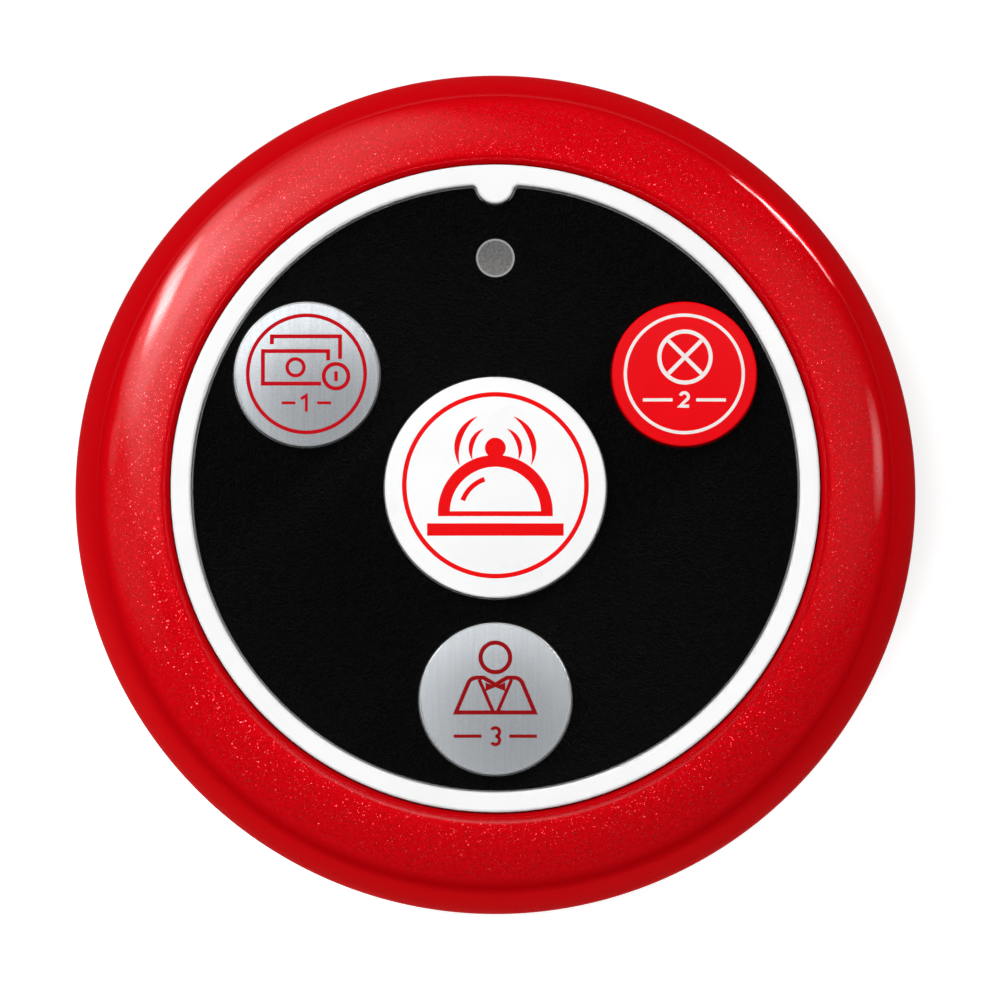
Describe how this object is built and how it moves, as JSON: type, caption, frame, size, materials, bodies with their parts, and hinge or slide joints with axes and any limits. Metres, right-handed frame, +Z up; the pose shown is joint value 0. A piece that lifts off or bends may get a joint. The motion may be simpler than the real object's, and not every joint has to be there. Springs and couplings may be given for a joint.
{
  "type": "waiter call button",
  "caption": "Round table-top call button: glossy rim, pale trim ring, dark face plate with sprung keys, lamp window and twist-off battery cap.",
  "frame": {"origin": "on the table under the middle of the body", "axes": "+Z up, +Y towards the lamp window, so the keys read upright seen from -Y"},
  "size_m": [0.086, 0.086, 0.0205],
  "materials": {
    "rim_paint": "red pearl paint with fine metal flake under a clear gloss coat",
    "trim_white": "plain white, satin",
    "plate_black": "fine matte grain",
    "window_clear": "clear moulded window, faintly frosted",
    "lamp_lens": "clear lamp lens",
    "key_white": "white with printed art, satin gloss",
    "key_silver": "silver paint with a fine brush and printed art",
    "key_red": "red with printed art, satin gloss",
    "base_black": "fine moulded grain",
    "seal_rubber": "soft black rubber",
    "foot_rubber": "soft black rubber",
    "screw_steel": "zinc-plated steel",
    "spring_steel": "bright spring wire",
    "lid_steel": "stamped steel",
    "contact_steel": "nickel-plated strip",
    "cell_steel": "nickel-plated can",
    "tinned_metal": "tinned can",
    "can_metal": "plain can",
    "aerial_copper": "enamelled wire",
    "switch_black": "plain",
    "plunger_black": "plain",
    "chip_black": "plain",
    "resistor_black": "plain",
    "board_green": "green solder mask"
  },
  "bodies": {
    "housing": {"upper_housing": "rim_paint", "trim_frame": "trim_white", "face_plate": "plate_black", "led_window": "window_clear", "status_lamp": "lamp_lens", "circuit_board": "board_green", "encoder_chip": "chip_black", "radio_chip": "chip_black", "crystal_can": "tinned_metal", "resonator_can": "tinned_metal", "capacitor_can": "can_metal", "chip_resistors": "resistor_black", "antenna": "aerial_copper", "coin_cell": "cell_steel", "negative_contact": "contact_steel", "positive_contact": "contact_steel", "base_cover": "base_black", "rubber_feet": "foot_rubber", "case_screws": "screw_steel", "frame_screws": "screw_steel", "board_screws": "screw_steel", "call_spring": "spring_steel", "call_switch": "switch_black", "call_switch_lid": "lid_steel", "pay_spring": "spring_steel", "pay_switch": "switch_black", "pay_switch_lid": "lid_steel", "cancel_spring": "spring_steel", "cancel_switch": "switch_black", "cancel_switch_lid": "lid_steel", "order_spring": "spring_steel", "order_switch": "switch_black", "order_switch_lid": "lid_steel"},
    "battery_cap": {"battery_cap": "base_black", "cap_seal": "seal_rubber"},
    "call_key": {"call_key": "key_white"},
    "call_plunger": {"call_plunger": "plunger_black"},
    "pay_key": {"pay_key": "key_silver"},
    "pay_plunger": {"pay_plunger": "plunger_black"},
    "cancel_key": {"cancel_key": "key_red"},
    "cancel_plunger": {"cancel_plunger": "plunger_black"},
    "order_key": {"order_key": "key_silver"},
    "order_plunger": {"order_plunger": "plunger_black"}
  },
  "joints": [
    {"name": "call_press", "type": "slide", "parent": "housing", "child": "call_key", "axis": [0, 0, -1], "range_m": [0, 0.0012], "stiffness_N_per_m": 1250, "springref_m": -0.0004, "deforming": ["call_spring"]},
    {"name": "call_plunge", "type": "slide", "parent": "housing", "child": "call_plunger", "axis": [0, 0, -1], "range_m": [0, 0.00035]},
    {"name": "pay_press", "type": "slide", "parent": "housing", "child": "pay_key", "axis": [0, 0, -1], "range_m": [0, 0.0012], "stiffness_N_per_m": 1250, "springref_m": -0.0004, "deforming": ["pay_spring"]},
    {"name": "pay_plunge", "type": "slide", "parent": "housing", "child": "pay_plunger", "axis": [0, 0, -1], "range_m": [0, 0.00035]},
    {"name": "cancel_press", "type": "slide", "parent": "housing", "child": "cancel_key", "axis": [0, 0, -1], "range_m": [0, 0.0012], "stiffness_N_per_m": 1250, "springref_m": -0.0004, "deforming": ["cancel_spring"]},
    {"name": "cancel_plunge", "type": "slide", "parent": "housing", "child": "cancel_plunger", "axis": [0, 0, -1], "range_m": [0, 0.00035]},
    {"name": "order_press", "type": "slide", "parent": "housing", "child": "order_key", "axis": [0, 0, -1], "range_m": [0, 0.0012], "stiffness_N_per_m": 1250, "springref_m": -0.0004, "deforming": ["order_spring"]},
    {"name": "order_plunge", "type": "slide", "parent": "housing", "child": "order_plunger", "axis": [0, 0, -1], "range_m": [0, 0.00035]},
    {"name": "cap_twist", "type": "hinge", "parent": "housing", "child": "battery_cap", "pos_m": [0, 0, 0.0008], "axis": [0, 0, -1], "range_deg": [0, 45]}
  ],
  "couplings": [
    {"joint": "call_plunge", "follows": "call_press", "ratio": 0.25},
    {"joint": "pay_plunge", "follows": "pay_press", "ratio": 0.25},
    {"joint": "cancel_plunge", "follows": "cancel_press", "ratio": 0.25},
    {"joint": "order_plunge", "follows": "order_press", "ratio": 0.25}
  ]
}
